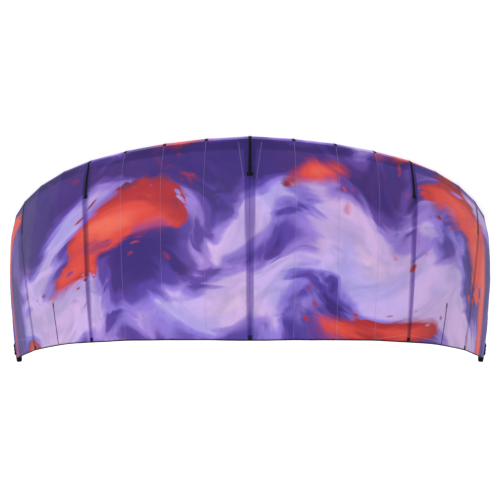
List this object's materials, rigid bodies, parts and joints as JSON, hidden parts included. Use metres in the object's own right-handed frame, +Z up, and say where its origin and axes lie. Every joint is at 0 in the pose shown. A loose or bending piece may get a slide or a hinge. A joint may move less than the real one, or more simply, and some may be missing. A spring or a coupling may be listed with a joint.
{
  "type": "kitesurfing kite",
  "caption": "Inflatable kitesurfing kite with a curved leading-edge tube, struts and a marbled violet canopy, parked on its leading edge.",
  "frame": {"origin": "on the ground, under the middle of the kite's box", "axes": "+X across the span, +Y from the convex top side towards the hollow inner side, +Z up from the leading edge that rests on the ground"},
  "size_m": [4.6216, 2.8632, 1.5642],
  "materials": {
    "canopy_cloth": "thin coated ripstop, violet and lilac marbling, slightly glossy and translucent",
    "tube_cloth": "stiff woven polyester drawn tight by air, printed violet and lilac",
    "strut_cloth": "stiff woven polyester drawn tight by air, plain violet",
    "end_cap_cloth": "black heavy woven polyester, matte",
    "patch_cloth": "black reinforcement cloth, matte",
    "batten_pocket": "narrow sewn pocket of the canopy's cloth",
    "edge_tape": "dark folded binding tape, matte",
    "webbing": "black flat webbing, matte"
  },
  "bodies": {
    "root": {"batten_left": "batten_pocket", "batten_right": "batten_pocket", "canopy_1_left": "canopy_cloth", "canopy_1_right": "canopy_cloth", "canopy_2_left": "canopy_cloth", "canopy_2_right": "canopy_cloth", "canopy_3_left": "canopy_cloth", "canopy_3_right": "canopy_cloth", "canopy_4_left": "canopy_cloth", "canopy_4_right": "canopy_cloth", "canopy_5_left": "canopy_cloth", "canopy_5_right": "canopy_cloth", "canopy_tip_left": "canopy_cloth", "canopy_tip_right": "canopy_cloth", "leading_edge_10_left": "tube_cloth", "leading_edge_10_right": "tube_cloth", "leading_edge_11_left": "tube_cloth", "leading_edge_11_right": "tube_cloth", "leading_edge_12_left": "tube_cloth", "leading_edge_12_right": "tube_cloth", "leading_edge_1_left": "tube_cloth", "leading_edge_1_right": "tube_cloth", "leading_edge_2_left": "tube_cloth", "leading_edge_2_right": "tube_cloth", "leading_edge_3_left": "tube_cloth", "leading_edge_3_right": "tube_cloth", "leading_edge_4_left": "tube_cloth", "leading_edge_4_right": "tube_cloth", "leading_edge_5_left": "tube_cloth", "leading_edge_5_right": "tube_cloth", "leading_edge_6_left": "tube_cloth", "leading_edge_6_right": "tube_cloth", "leading_edge_7_left": "tube_cloth", "leading_edge_7_right": "tube_cloth", "leading_edge_8_left": "tube_cloth", "leading_edge_8_right": "tube_cloth", "leading_edge_9_left": "tube_cloth", "leading_edge_9_right": "tube_cloth", "strut_cap_centre": "end_cap_cloth", "strut_cap_inner_left": "end_cap_cloth", "strut_cap_inner_right": "end_cap_cloth", "strut_cap_outer_left": "end_cap_cloth", "strut_cap_outer_right": "end_cap_cloth", "strut_centre": "strut_cloth", "strut_inner_left": "strut_cloth", "strut_inner_right": "strut_cloth", "strut_outer_left": "strut_cloth", "strut_outer_right": "strut_cloth", "strut_patch_centre": "patch_cloth", "strut_patch_inner_left": "patch_cloth", "strut_patch_inner_right": "patch_cloth", "strut_patch_outer_left": "patch_cloth", "strut_patch_outer_right": "patch_cloth", "tip_webbing_left": "webbing", "tip_webbing_right": "webbing", "trailing_edge_binding": "edge_tape", "tube_end_cap_left": "end_cap_cloth", "tube_end_cap_right": "end_cap_cloth"}
  },
  "joints": []
}
